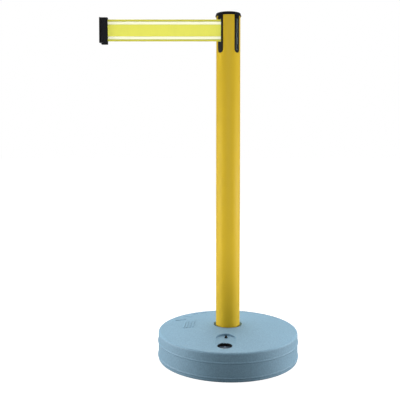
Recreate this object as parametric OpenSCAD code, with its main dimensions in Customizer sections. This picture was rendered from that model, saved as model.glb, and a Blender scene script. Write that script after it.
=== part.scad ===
// Retractable belt post on a fillable round base.
// Origin: post axis at floor level, +Z up. The belt runs out along -X, the fill plug faces -Y.

/* [Post] */
// Overall height, floor to the top of the head cap
overall_h = 911; // [750:1:1100]
// Outside diameter of the post tube
post_d = 63.5; // [60:0.1:77]
// Wall of the post tube
post_wall = 3; // [2.5:0.1:3.5]
// Length of the slots in the head of the tube
slot_len = 97.3; // [94:0.1:120]
// Width of the slots in the head of the tube
slot_w = 18; // [16:0.5:19]
// Running gap between parts that slide into each other
fit_gap = 0.3; // [0.2:0.05:0.5]

/* [Head cap] */
// Thickness of the cap above the tube
cap_h = 7.7; // [6.5:0.1:10]
// How far the cap's lower edge stands out past the tube
cap_lip = 2.1; // [1:0.1:4]
// Draft of the cap's side, from bottom to top
cap_draft = 1.8; // [0.5:0.1:2.5]
// Depth of the cap's four tabs in the slots
tab_h = 8; // [6:0.5:10]
// Radius of the blank disc in the top of the cap
disc_r = 24; // [16:0.5:27]

/* [Belt] */
// Width of the webbing
belt_w = 56.5; // [40:0.1:68]
// Thickness of the webbing
belt_t = 0.6; // [0.4:0.1:0.8]
// Whole length of the webbing
belt_len = 2230; // [1800:10:2600]
// Length of webbing drawn out of the head, measured from the post axis
belt_out = 314; // [150:1:600]

/* [Belt clip] */
// Clip size along the belt
clip_l = 16.5; // [15:0.5:24]
// Clip size across the belt's face
clip_t = 14; // [12:0.5:18]
// Clip height above and below the belt
clip_margin = 5.85; // [4.5:0.05:8]
// Width of the rail's head
rail_head_w = 9; // [8:0.1:9.6]
// Thickness of the rail's head
rail_head_t = 2.8; // [2.2:0.1:3]
// Width of the rail's neck
rail_neck_w = 5; // [4:0.1:5.4]
// Length of the rail's neck
rail_neck_l = 2.6; // [2.4:0.1:3]
// Length of the rail
rail_len = 65.5; // [50:0.5:70]

/* [Base] */
// Diameter of the base body
base_d = 371; // [309:1:450]
// Height of the base at its rim
rim_h = 72.5; // [60:0.5:90]
// Slope of the base's top, in degrees
top_slope = 5.85; // [3:0.05:8]
// Wall of the blow-moulded shell
shell_wall = 3; // [2.5:0.1:4]
// Radius of the shoulder between side and top
shoulder_r = 6; // [4:0.5:9]
// How far the two mould ribs stand out
rib_proud = 1.75; // [1:0.05:3]
// Height of the lower mould rib
rib_low_z = 9.5; // [8.5:0.5:14]
// Height of the upper mould rib
rib_high_z = 46.6; // [38:0.1:52]
// Gap round the post at the socket's mouth
mouth_gap = 5.85; // [4:0.05:9]
// Depth of the socket's flared lead-in
mouth_depth = 12; // [8:0.5:16]

/* [Fill recess] */
// Radius of the recess's round ends
recess_r = 24.5; // [22:0.5:29]
// Flat left between the recess and the base's edge
recess_edge = 22.5; // [20:0.5:30]
// Length of the recess's straight sides
recess_run = 39.5; // [30:0.5:50]
// Angle of the recess to the front, in degrees
recess_turn = 5.6; // [0:0.1:8]
// Depth of the recess at its inner end
recess_depth = 5.6; // [3:0.1:6]
// Floor left between the fill hole and the recess's outer end
fill_lip = 2.5; // [1.5:0.1:6]
// Radius of the fill hole
fill_r = 18.5; // [15:0.1:22.5]
// Depth of the plug below the recess floor
plug_sink = 7; // [4:0.5:9]
// Distance of the vent past the centre of the recess's inner end
vent_past = 11.5; // [4:0.5:16]
// Radius of the vent
vent_r = 2.4; // [1.8:0.1:3]

/* [Hidden] */

eps = 0.02;
round_fn = 96;
small_fn = 36;
rod_clear = 0.05;

// Heights in the head
tube_top = overall_h - cap_h;
slot_bottom = tube_top - slot_len;
tube_r = post_d / 2;
bore_r = tube_r - post_wall;
slot_angles = [-45, 45, 135, 225];
tab_bottom = tube_top - tab_h;
top_plate_t = 3.5;
top_plate_z = tab_bottom + 0.7;
drum_flange_t = 1.2;
drum_gap = 0.8;
flange_top_z = top_plate_z - drum_gap;
belt_top = flange_top_z - drum_flange_t - 2.5;
belt_bottom = belt_top - belt_w;
flange_low_z = belt_bottom - 1.5 - drum_flange_t;
cover_t = 1.8;
cover_top = flange_low_z - drum_gap;
base_plate_t = 7.5;
base_plate_top = slot_bottom - fit_gap;
plate_r = bore_r - 0.35;

// The belt leaves its coil at a tangent and passes out through the middle of the front-left slot,
// so the coil's radius follows the post, and the drum's radius follows from the webbing left on it
belt_y = -(tube_r / sqrt(2) - 0.03);
coil_r = -belt_y - belt_t / 2 - 0.1;
drum_r = sqrt(coil_r * coil_r - (belt_len - belt_out) * belt_t / PI);

// Receivers, measured out from the post axis
recv_lip_t = 2;
recv_wall = 1.5;
recv_chamber = rail_head_t + 0.8;
recv_face = tube_r - 0.45;
recv_back = recv_face - recv_lip_t - recv_chamber - recv_wall;
recv_w = slot_w - 2 * fit_gap;
recv_flange_w = slot_w + 4;
recv_flange_out = recv_back + 2;
neck_gap = rail_neck_w + 1;
head_gap = rail_head_w + 0.8;
drum_flange_r = recv_back - 1.2;

// Fasteners in the head
disc_sink = 1.8;
cap_screw_r = 2.5;
cap_screw_head_r = 4.6;
cap_screw_seat = tube_top + 2.6;
tie_at = bore_r - 2.85;
tie_r = 1.5;
tie_head_r = 2.4;
tie_head_h = 2.6;
tie_nut_h = 2.4;
tie_nut_af = 5.2;
retain_turn = 25;
retain_r = 1.5;
retain_in = bore_r - 11.75;

// Spring cup, drum shaft and bushes
cup_r = recv_back - 0.8;
cup_wall = 1.6;
cup_floor = 1.5;
collar_r = 5.6;
shaft_r = 3;
bush_r = 5;
bush_flange_r = 6.2;
bush_seat = 2;

// Belt clip
clip_right = -belt_out;
clip_left = clip_right - clip_l;
clip_z0 = belt_bottom - clip_margin - 1.55;
clip_z1 = belt_top + clip_margin - 1.55;
pin_r = 2.5;
pin_x = clip_right - 7.5;
clip_wall = 1.6;
clip_screw_x = clip_left + 3;
clip_screw_z = [clip_z0 + 3.4, clip_z1 - 3.4];
anchor_t = 1.8;
anchor_w = 8.4;
rail_z0 = clip_z0 + 3.9;
anchor_z0 = rail_z0 + 6.1;
anchor_h = rail_len - 14.2;

// Base heights and radii
body_r = base_d / 2;
mouth_r = tube_r + mouth_gap;
top_in_z = rim_h + (body_r - shoulder_r - mouth_r) * tan(top_slope);
socket_r = tube_r + fit_gap;
socket_floor = 14;
socket_floor_t = 4;
socket_wall = shell_wall + 0.3;
underside_z = 6;
foot_ring_in = body_r - 39;
foot_ring_out = body_r - 6.5;
well_r = tube_r + 4.25;
rib_half = 3;
edge_h = 2.5;
edge_in = 1.5;

// Clamp bolt up through the socket floor
bolt_r = 6;
bolt_head_af = 18;
bolt_head_h = 7;
bolt_washer_r = 15;
bolt_washer_t = 1.6;
bolt_len = 34;
nut_h = 10;
nut_af = 18;
foot_plug_h = 32;
foot_plug_hole_at = (bore_r + nut_af / sqrt(3)) / 2;

// Fill plug and its seat
recess_out = body_r - recess_edge - recess_r;
recess_in = recess_out - recess_run;
fill_at = recess_out + recess_r - fill_lip - fill_r;
vent_at = recess_in - vent_past;
function top_z(r) = top_in_z - (r - mouth_r) * tan(top_slope);
floor_in_z = top_z(recess_in - recess_r) - recess_depth;
floor_out_z = top_z(recess_out + recess_r);
floor_run = recess_out - recess_in + 2 * recess_r;
floor_tilt = atan((floor_in_z - floor_out_z) / floor_run);
function floor_z(r) = floor_in_z - (r - recess_in + recess_r) * tan(floor_tilt);
plug_top = floor_z(fill_at) - plug_sink;
plug_flange_t = 3;
seal_t = 1.5;
seat_z = plug_top - plug_flange_t - seal_t;
plug_r = fill_r - 3.8;
neck_r = plug_r + fit_gap;
neck_len = 10;
neck_wall = 3;
flange_r = fill_r - 1.7;
liner_t = 1.2;
groove_w = 9;
groove_depth = 0.9;
grip_w = 4;
grip_h = 2.2;
notch_r = 3;
vent_head_r = 3.6;
vent_head_h = 4.2;
vent_stem_r = vent_r - 0.3;

// ---------- helpers ----------

// Turns what faces -Y to a given angle about the post axis
module around(angle) { rotate([0, 0, angle]) children(); }

// Child drawn in the plane across a slot, pushed out along -Y from r0 to r1
module outward(r0, r1) {
    translate([0, -r0, 0]) rotate([90, 0, 0]) linear_extrude(height = r1 - r0) children();
}

// Outline of a slot: straight sides and a round lower end, x across and y up
module slot_outline(w, z0, z1) {
    translate([0, z0 + w / 2]) circle(d = w, $fn = 48);
    translate([-w / 2, z0 + w / 2]) square([w, z1 - z0 - w / 2]);
}

// Along the retaining screw, outwards from the post axis at the back
module at_retainer() {
    rotate([0, 0, retain_turn]) translate([0, 0, base_plate_top - base_plate_t / 2]) rotate([-90, 0, 0])
        children();
}

module tube(r_out, r_in, z0, z1, fn = round_fn) {
    translate([0, 0, z0]) difference() {
        cylinder(r = r_out, h = z1 - z0, $fn = fn);
        translate([0, 0, -1]) cylinder(r = r_in, h = z1 - z0 + 2, $fn = fn);
    }
}

module rod(r, z0, z1, fn = small_fn) {
    translate([0, 0, z0]) cylinder(r = r, h = z1 - z0, $fn = fn);
}

module hex(af, z0, z1) {
    translate([0, 0, z0]) cylinder(d = af / cos(30), h = z1 - z0, $fn = 6);
}

// ---------- base ----------

// A mould rib: a low half-round bead around the side
module rib_outline(z) {
    bead_r = (rib_half * rib_half + rib_proud * rib_proud) / (2 * rib_proud);
    intersection() {
        translate([body_r + rib_proud - bead_r, z]) circle(r = bead_r, $fn = 96);
        translate([body_r - 2, z - rib_half]) square([rib_proud + 3, 2 * rib_half]);
    }
}

module base_outline() {
    difference() {
        union() {
            polygon([
                [0, socket_floor - socket_floor_t], [well_r, socket_floor - socket_floor_t],
                [well_r + 4, underside_z], [foot_ring_in, underside_z],
                [foot_ring_in + underside_z, 0], [body_r - edge_in, 0],
                [body_r, edge_h], [body_r, rim_h - shoulder_r],
                [body_r - shoulder_r, rim_h - shoulder_r], [body_r - shoulder_r, rim_h],
                [mouth_r, top_in_z], [0, top_in_z]
            ]);
            translate([body_r - shoulder_r, rim_h - shoulder_r]) circle(r = shoulder_r, $fn = 64);
            rib_outline(rib_low_z);
            rib_outline(rib_high_z);
        }
        // Socket with its flared mouth, and the lip's rounded edge
        polygon([
            [-1, socket_floor], [socket_r, socket_floor],
            [socket_r, top_in_z - mouth_depth], [mouth_r - 1.4, top_in_z - 1.6],
            [mouth_r, top_in_z + 0.4], [mouth_r, top_in_z + 5], [-1, top_in_z + 5]
        ]);
    }
}

// The tank between the outer skin and the socket
module tank_outline() {
    in_r = socket_r + socket_wall;
    low = socket_floor - socket_floor_t + shell_wall;
    top_drop = shell_wall / cos(top_slope);
    polygon([
        [in_r, low], [well_r + 1.5, low], [well_r + 5.5, underside_z + shell_wall],
        [foot_ring_in + 1, underside_z + shell_wall], [foot_ring_in + underside_z + 1, shell_wall],
        [foot_ring_out, shell_wall], [body_r - shell_wall, edge_h + shell_wall],
        [body_r - shell_wall, rim_h - shoulder_r], [body_r - shoulder_r, rim_h - top_drop],
        [mouth_r + 4, top_z(mouth_r + 4) - top_drop], [in_r, top_in_z - mouth_depth - 4]
    ]);
}

// The recess's plan, pushed up from its sloping floor
module recess_block(grow, z_up) {
    around(-recess_turn) translate([0, -(recess_in - recess_r), floor_in_z])
        rotate([floor_tilt, 0, 0]) translate([0, -recess_r, 0]) {
            run = (recess_out - recess_in) / cos(floor_tilt);
            cylinder(r = recess_r + grow, h = z_up, $fn = round_fn);
            translate([0, -run, 0]) cylinder(r = recess_r + grow, h = z_up, $fn = round_fn);
            translate([-recess_r - grow, -run, 0]) cube([2 * (recess_r + grow), run, z_up]);
        }
}

module at_fill() { around(-recess_turn) translate([0, -fill_at, 0]) children(); }

// Child placed on the recess's sloping floor at a distance from the post's axis
module on_floor(r) {
    around(-recess_turn) translate([0, -r, floor_z(r)]) rotate([floor_tilt, 0, 0]) children();
}

module base_shell() {
    color([0.53, 0.66, 0.75]) difference() {
        rotate_extrude($fn = 180) base_outline();
        // Tank, less the walls of the recess and of the fill neck
        difference() {
            rotate_extrude($fn = 180) tank_outline();
            translate([0, 0, -shell_wall]) recess_block(shell_wall, 30);
            at_fill() rod(fill_r + neck_wall, seat_z - neck_len, 100, round_fn);
        }
        recess_block(0, 30);
        at_fill() rod(fill_r, seat_z, 100, round_fn);
        at_fill() rod(neck_r, seat_z - neck_len - 1, seat_z + 1, round_fn);
        // Notch in the hole's edge, to get under the plug's flange
        at_fill() translate([0, -fill_r, 0]) rod(notch_r, plug_top, 100);
        on_floor(vent_at) {
            rod(vent_r, -20, 20);
            // Groove that drains the vent into the fill hole
            translate([-groove_w / 2, vent_at - fill_at, -groove_depth])
                cube([groove_w, fill_at - vent_at + groove_w / 2, 10]);
        }
        rod(bolt_r + 0.5, 0, socket_floor + 1);
    }
}

// Threaded plug: flange, hollow skirt and a bar to turn it by
module fill_plug() {
    color([0.30, 0.33, 0.37]) at_fill() {
        difference() {
            union() {
                rod(flange_r, seat_z + seal_t, plug_top, round_fn);
                rod(plug_r, seat_z - neck_len, seat_z + seal_t + eps, round_fn);
            }
            rod(plug_r - 2.2, seat_z - neck_len - 1, seat_z + seal_t, round_fn);
            rod(flange_r - 1.8, plug_top - grip_h, plug_top + 1, round_fn);
        }
        translate([-grip_w / 2, 1.2 - flange_r, plug_top - grip_h - eps]) intersection() {
            cube([grip_w, 2 * flange_r - 2.4, grip_h + eps]);
            translate([grip_w / 2, flange_r - 1.2, -1]) cylinder(r = flange_r - 1.5, h = 9, $fn = round_fn);
        }
    }
}

module plug_seal() {
    color([0.12, 0.12, 0.13]) at_fill() tube(flange_r, plug_r + 0.35, seat_z, seat_z + seal_t);
}

// Thin rubber lining of the fill hole's wall, cut off along the recess's floor
module neck_liner() {
    color([0.05, 0.05, 0.05]) difference() {
        at_fill() tube(fill_r - 0.05, fill_r - liner_t, seat_z + seal_t + 0.3, plug_top + 12);
        on_floor(fill_at) translate([-30, -30, -0.6]) cube([60, 60, 30]);
        on_floor(vent_at) translate([-groove_w / 2, vent_at - fill_at, -groove_depth - 0.6])
            cube([groove_w, fill_at - vent_at, 10]);
        at_fill() translate([0, -fill_r, 0]) rod(notch_r, plug_top, 100);
    }
}

// Push-in plug of the vent: a round-topped head on the recess's floor, with its stem in the hole
module vent_plug() {
    color([0.05, 0.05, 0.05]) on_floor(vent_at) rotate_extrude($fn = 48) polygon([
        [0, -shell_wall - 1], [vent_stem_r, -shell_wall - 1], [vent_stem_r, -groove_depth],
        [vent_head_r, -groove_depth], [vent_head_r, vent_head_h - 1.4],
        [vent_head_r - 0.4, vent_head_h - 0.6],
        [vent_head_r - 1.2, vent_head_h - 0.1], [0, vent_head_h]
    ]);
}

// ---------- post ----------

module post_tube() {
    color([0.86, 0.71, 0.19]) difference() {
        tube(tube_r, bore_r, socket_floor, tube_top);
        for (a = slot_angles) around(a) outward(bore_r / 2, tube_r + 5)
            slot_outline(slot_w, slot_bottom, tube_top + 10);
        // Hole for the retaining screw, at the back
        at_retainer() cylinder(r = retain_r + 0.2, h = tube_r + 5, $fn = small_fn);
    }
}

// Plug in the foot of the tube, with a pocket for the clamp nut
module foot_plug() {
    top = socket_floor + foot_plug_h;
    color([0.16, 0.16, 0.17]) difference() {
        rod(bore_r - 0.05, socket_floor, top, round_fn);
        rod(bolt_r + 0.4, 0, top + 1);
        hex(nut_af + 0.3, top - nut_h - 4, top + 1);
        for (a = [30 : 60 : 330]) rotate([0, 0, a]) translate([foot_plug_hole_at, 0, socket_floor + 4])
            cylinder(r = 5.5, h = 60, $fn = small_fn);
    }
}

module foot_nut() {
    top = socket_floor + foot_plug_h;
    color([0.70, 0.71, 0.73]) difference() {
        hex(nut_af, top - nut_h - 4, top - 4);
        rod(bolt_r + rod_clear, 0, top + 1);
    }
}

module clamp_bolt() {
    seat = socket_floor - socket_floor_t - bolt_washer_t;
    color([0.70, 0.71, 0.73]) {
        hex(bolt_head_af, seat - bolt_head_h, seat);
        rod(bolt_r, seat - eps, seat + bolt_len);
    }
}

module clamp_washer() {
    seat = socket_floor - socket_floor_t;
    color([0.75, 0.76, 0.78]) tube(bolt_washer_r, bolt_r + 0.4, seat - bolt_washer_t, seat);
}

// ---------- head ----------

module head_cap() {
    low_r = tube_r + cap_lip;
    high_r = low_r - cap_draft;
    edge = 0.9;
    color([0.07, 0.07, 0.08]) {
        difference() {
            rotate_extrude($fn = 120) polygon([
                [0, tube_top], [low_r, tube_top], [low_r, tube_top + 1],
                [high_r + 0.15, overall_h - edge], [high_r - 0.25, overall_h - edge / 4],
                [high_r - edge, overall_h], [0, overall_h]
            ]);
            rod(disc_r + 0.25, overall_h - disc_sink, overall_h + 1, round_fn);
            rod(cap_screw_r + 0.3, tube_top - 1, overall_h);
            rod(cap_screw_head_r + 1, cap_screw_seat, overall_h);
        }
        for (a = slot_angles) around(a) intersection() {
            outward(bore_r + 0.15, tube_r + 2)
                translate([-recv_w / 2, tab_bottom]) square([recv_w, tab_h + eps]);
            rod(tube_r - 0.1, tab_bottom - 1, tube_top + eps, round_fn);
        }
    }
}

module cap_disc() {
    color([0.10, 0.10, 0.11]) rod(disc_r, overall_h - disc_sink, overall_h - 0.2, round_fn);
}

module cap_screw() {
    color([0.68, 0.69, 0.71]) difference() {
        union() {
            rod(cap_screw_head_r, cap_screw_seat, cap_screw_seat + 2.8);
            rod(cap_screw_r, tube_top - 3, cap_screw_seat + eps);
        }
        hex(3, cap_screw_seat + 1, cap_screw_seat + 4);
    }
}

// One receiver: a channel with a T-shaped slot, open at its top, that fills a slot of the tube
module receiver(angle) {
    color([0.11, 0.12, 0.13]) around(angle) difference() {
        union() {
            intersection() {
                outward(recv_flange_out - 1, recv_face)
                    slot_outline(recv_w, slot_bottom + fit_gap, tab_bottom);
                rod(tube_r - 0.15, slot_bottom, tube_top, round_fn);
            }
            intersection() {
                outward(recv_back, recv_flange_out)
                    translate([-recv_flange_w / 2, base_plate_top])
                        square([recv_flange_w, top_plate_z - base_plate_top]);
                rod(bore_r - 0.2, base_plate_top - 1, tube_top, round_fn);
            }
        }
        outward(recv_back + recv_wall, recv_face - recv_lip_t)
            slot_outline(head_gap, slot_bottom + 5, tube_top);
        outward(recv_back + recv_wall, tube_r + 5) slot_outline(neck_gap, slot_bottom + 7, tube_top);
    }
}

module receiver_front_right() { receiver(45); }
module receiver_back_right() { receiver(135); }
module receiver_back_left() { receiver(225); }

// The fourth slot holds a guide with a tall slit for the belt
module exit_guide() {
    slit = 1.8;
    flare_l = 8;
    flare_x = belt_y + 3.4;
    color([0.11, 0.12, 0.13]) difference() {
        around(-45) union() {
            intersection() {
                outward(recv_flange_out - 1, recv_face)
                    slot_outline(recv_w, slot_bottom + fit_gap, tab_bottom);
                rod(tube_r - 0.15, slot_bottom, tube_top, round_fn);
            }
            intersection() {
                outward(recv_back, recv_flange_out)
                    translate([-recv_flange_w / 2, base_plate_top])
                        square([recv_flange_w, top_plate_z - base_plate_top]);
                rod(bore_r - 0.2, base_plate_top - 1, tube_top, round_fn);
            }
        }
        translate([-post_d, belt_y - slit / 2, belt_bottom - 1]) cube([post_d, slit, belt_w + 2]);
        // Flared mouth, so that the belt can leave at an angle
        translate([0, belt_y, belt_bottom - 1.5]) linear_extrude(height = belt_w + 3)
            polygon([
                [flare_x, -slit / 2], [flare_x, slit / 2],
                [flare_x - flare_l, slit / 2 + flare_l / 2], [flare_x - flare_l, -slit / 2 - flare_l / 2]
            ]);
    }
}

// ---------- cassette ----------

module tie_places() { for (a = [0, 90, 180, 270]) rotate([0, 0, a]) translate([tie_at, 0, 0]) children(); }

module cassette_top() {
    color([0.20, 0.21, 0.22]) difference() {
        union() {
            rod(plate_r, top_plate_z, top_plate_z + top_plate_t, round_fn);
            rod(7, top_plate_z, tube_top, round_fn);
        }
        tie_places() rod(tie_r + 0.1, top_plate_z - 1, tube_top);
        rod(bush_r, top_plate_z - 1, top_plate_z + top_plate_t - 1, small_fn);
        rod(cap_screw_r + 0.1, top_plate_z, tube_top + 1);
    }
}

module cassette_base() {
    z0 = base_plate_top - base_plate_t;
    color([0.20, 0.21, 0.22]) difference() {
        rod(plate_r, z0, base_plate_top, round_fn);
        tie_places() rod(tie_r + 0.1, z0 - 1, base_plate_top + 1);
        tie_places() rod(3.2, z0 - 1, z0 + tie_nut_h + 0.2);
        rod(bush_r, z0 + bush_seat, base_plate_top + 1, small_fn);
        // Tapped hole for the retaining screw
        at_retainer() translate([0, 0, retain_in - 3])
            cylinder(r = retain_r + rod_clear, h = tube_r, $fn = small_fn);
    }
}

module tie_bolts() {
    top = top_plate_z + top_plate_t;
    color([0.70, 0.71, 0.73]) tie_places() {
        rod(tie_r, base_plate_top - base_plate_t, top + eps, 24);
        rod(tie_head_r, top, top + tie_head_h, 24);
    }
}

module tie_nuts() {
    z0 = base_plate_top - base_plate_t;
    color([0.70, 0.71, 0.73]) tie_places() difference() {
        rotate([0, 0, 30]) hex(tie_nut_af, z0, z0 + tie_nut_h + 0.2);
        rod(tie_r + rod_clear, z0 - 1, z0 + 5, 24);
    }
}

module retaining_screw() {
    color([0.10, 0.10, 0.11]) at_retainer() difference() {
        union() {
            translate([0, 0, retain_in]) cylinder(r = retain_r, h = tube_r - retain_in + eps, $fn = small_fn);
            translate([0, 0, tube_r]) cylinder(r1 = 3.2, r2 = 2.4, h = 1.8, $fn = small_fn);
        }
        translate([0, 0, tube_r + 0.8]) cylinder(d = 2.3, h = 3, $fn = 6);
    }
}

// Flanged bearing bushes for the drum shaft
module bush(z0, z1, flange_z) {
    difference() {
        union() {
            rod(bush_r, z0, z1);
            rod(bush_flange_r, flange_z, flange_z + 0.5);
        }
        rod(shaft_r + rod_clear, z0 - 1, z1 + 1);
    }
}

module top_bush() {
    color([0.80, 0.72, 0.50]) bush(top_plate_z - 0.5, top_plate_z + top_plate_t - 1, top_plate_z - 0.5);
}

module base_bush() {
    z0 = base_plate_top - base_plate_t + bush_seat;
    color([0.80, 0.72, 0.50]) bush(z0, base_plate_top + 0.5, base_plate_top);
}

// ---------- belt drum ----------

// Cup that holds the power spring, with its lid
module spring_cup() {
    color([0.24, 0.25, 0.26]) difference() {
        rod(cup_r, base_plate_top, cover_top - cover_t, round_fn);
        rod(cup_r - cup_wall, base_plate_top + cup_floor, cover_top, round_fn);
        rod(bush_flange_r + 0.5, base_plate_top - 1, cover_top);
        // Anchor slot for the outer end of the spring
        translate([cup_r - 3, -1, base_plate_top + cup_floor]) cube([2.6, 2, cover_top]);
    }
}

module spring_cover() {
    color([0.24, 0.25, 0.26]) tube(cup_r, collar_r + 0.6, cover_top - cover_t, cover_top);
}

// Power spring: a steel strip wound outwards from the shaft
spring_turns = 7;
spring_steps = 20;
spring_strip = 0.6;
spring_in = collar_r + 0.7;
spring_out = cup_r - cup_wall - 1.1;
spring_hook_r = cup_r - 0.8;
function spring_point(i, side) =
    let (a = 360 * i / spring_steps,
         share = i / (spring_turns * spring_steps),
         r = spring_in + (spring_out - spring_in) * share + side * spring_strip / 2)
    [r * cos(a), r * sin(a)];

module power_spring() {
    n = spring_turns * spring_steps;
    z0 = base_plate_top + cup_floor + 0.5;
    color([0.45, 0.50, 0.58]) translate([0, 0, z0])
        linear_extrude(height = cover_top - cover_t - 0.5 - z0) polygon(concat(
            [for (i = [0 : n]) spring_point(i, -1)],
            [[norm(spring_point(n, -1)), spring_strip], [spring_hook_r, spring_strip], [spring_hook_r, 0]],
            [for (i = [n : -1 : 0]) spring_point(i, 1)]
        ));
}

module drum() {
    color([0.30, 0.31, 0.33]) difference() {
        union() {
            rod(drum_r, flange_low_z, flange_top_z, round_fn);
            rod(drum_flange_r, flange_low_z, flange_low_z + drum_flange_t, round_fn);
            rod(drum_flange_r, flange_top_z - drum_flange_t, flange_top_z, round_fn);
        }
        rod(shaft_r, flange_low_z - 1, flange_top_z + 1);
        for (a = [0 : 90 : 270]) rotate([0, 0, a]) translate([(drum_r + shaft_r) / 2, 0, flange_low_z + 3])
            cylinder(r = (drum_r - shaft_r) / 4, h = overall_h, $fn = 24);
    }
}

// The shaft turns with the drum and winds the spring below it
module drum_shaft() {
    color([0.70, 0.71, 0.73]) {
        rod(shaft_r, base_plate_top - base_plate_t + bush_seat + 0.6, top_plate_z + top_plate_t - 1.2);
        rod(collar_r, base_plate_top + 0.8, flange_low_z);
    }
}

module belt_coil() {
    color([0.86, 0.87, 0.35]) tube(coil_r, drum_r, belt_bottom, belt_top);
}

// ---------- belt and clip ----------

module belt_strap() {
    color([0.86, 0.87, 0.35]) {
        loop_r = pin_r + 0.1;
        strap_x = pin_x + loop_r + 0.2;
        translate([strap_x, belt_y - belt_t / 2, belt_bottom]) cube([-strap_x, belt_t, belt_w]);
        translate([pin_x, belt_y, 0]) tube(loop_r + belt_t, loop_r, belt_bottom, belt_top, small_fn);
    }
}

module clip_pin() {
    color([0.70, 0.71, 0.73]) translate([pin_x, belt_y, 0]) rod(pin_r, clip_z0 + 2, clip_z1 - 2);
}

// Plan of the clip with softened corners, x along the belt and y across it
module clip_plan() {
    corner = 2;
    for (x = [clip_left + corner, clip_right - corner], y = [-1, 1])
        translate([x, y * (clip_t / 2 - corner)]) circle(r = corner, $fn = 32);
    translate([clip_left + corner, -clip_t / 2]) square([clip_l - 2 * corner, clip_t]);
    translate([clip_left, -clip_t / 2 + corner]) square([clip_l, clip_t - 2 * corner]);
}

// Half of the clip; side is -1 for the front half and 1 for the back half
module clip_half(side) {
    cavity_r = pin_r + belt_t + 0.9;
    y0 = side < 0 ? -clip_t : 0;
    translate([0, belt_y, 0]) difference() {
        intersection() {
            translate([0, 0, clip_z0]) linear_extrude(height = clip_z1 - clip_z0) clip_plan();
            translate([clip_left - 1, y0, clip_z0 - 1]) cube([clip_l + 2, clip_t, clip_z1 - clip_z0 + 2]);
        }
        // Room for the belt's loop round the pin, and the slit it leaves by
        translate([pin_x, 0, 0]) rod(cavity_r, belt_bottom - 1, belt_top + 1);
        translate([pin_x, -1.1, belt_bottom - 1]) cube([40, 2.2, belt_w + 2]);
        translate([pin_x, 0, 0]) rod(pin_r + rod_clear, clip_z0 + 2, clip_z1 - 2);
        // Pocket and slot for the rail's anchor
        translate([clip_left + clip_wall, -anchor_w / 2 - 0.1, anchor_z0 - 0.1])
            cube([anchor_t + 0.1, anchor_w + 0.2, anchor_h + 0.2]);
        translate([clip_left - 1, -rail_neck_w / 2 - rod_clear, anchor_z0 - 0.1])
            cube([clip_wall + 1.1, rail_neck_w + 2 * rod_clear, anchor_h + 0.2]);
        for (z = clip_screw_z) translate([clip_screw_x, 0, z]) rotate([90, 0, 0]) {
            translate([0, 0, -clip_t]) cylinder(r = 1.3, h = 2 * clip_t, $fn = small_fn);
            translate([0, 0, -clip_t - clip_t / 2 + 2.2]) cylinder(r = 2.3, h = clip_t, $fn = small_fn);
        }
    }
}

module clip_front_shell() { color([0.08, 0.08, 0.09]) clip_half(-1); }
module clip_back_shell() { color([0.08, 0.08, 0.09]) clip_half(1); }

module clip_screws() {
    color([0.12, 0.12, 0.13]) for (z = clip_screw_z)
        translate([clip_screw_x, belt_y + clip_t / 2 - 2.2, z]) rotate([90, 0, 0]) difference() {
            union() {
                translate([0, 0, -1.8]) cylinder(r = 2.1, h = 1.8, $fn = small_fn);
                cylinder(r = 1.25, h = clip_t - 4.5, $fn = small_fn);
            }
            translate([0, 0, -3]) cylinder(d = 1.9, h = 2.4, $fn = 6);
        }
}

// T-shaped rail on the end of the clip, held by an anchor between the two halves
module clip_rail() {
    head_x = clip_left - rail_neck_l - rail_head_t;
    color([0.09, 0.09, 0.10]) translate([0, belt_y, 0]) {
        translate([head_x, -rail_head_w / 2, rail_z0]) cube([rail_head_t, rail_head_w, rail_len]);
        translate([head_x + rail_head_t - eps, -rail_neck_w / 2, rail_z0])
            cube([rail_neck_l + eps, rail_neck_w, rail_len]);
        translate([clip_left - eps, -rail_neck_w / 2, anchor_z0])
            cube([clip_wall + 0.1, rail_neck_w, anchor_h]);
        translate([clip_left + clip_wall + rod_clear, -anchor_w / 2, anchor_z0])
            cube([anchor_t, anchor_w, anchor_h]);
    }
}

base_shell();
fill_plug();
plug_seal();
neck_liner();
vent_plug();
post_tube();
foot_plug();
foot_nut();
clamp_bolt();
clamp_washer();
head_cap();
cap_disc();
cap_screw();
receiver_front_right();
receiver_back_right();
receiver_back_left();
exit_guide();
cassette_top();
cassette_base();
tie_bolts();
tie_nuts();
retaining_screw();
top_bush();
base_bush();
spring_cup();
spring_cover();
power_spring();
drum();
drum_shaft();
belt_coil();
belt_strap();
clip_front_shell();
clip_back_shell();
clip_rail();
clip_pin();
clip_screws();
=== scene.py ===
"""Looks of a retractable belt post that stands on a fillable round base.

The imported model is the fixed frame. The shells that show are rebuilt here as finer meshes, the belt
is built as woven webbing, and every piece gets a procedural finish of its own. Sizes are written in
millimetres and turned into metres as each mesh is made.
"""

import logging
import math
from dataclasses import dataclass, replace
from enum import Enum
from functools import partial
from typing import Callable, Iterable, Sequence

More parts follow.
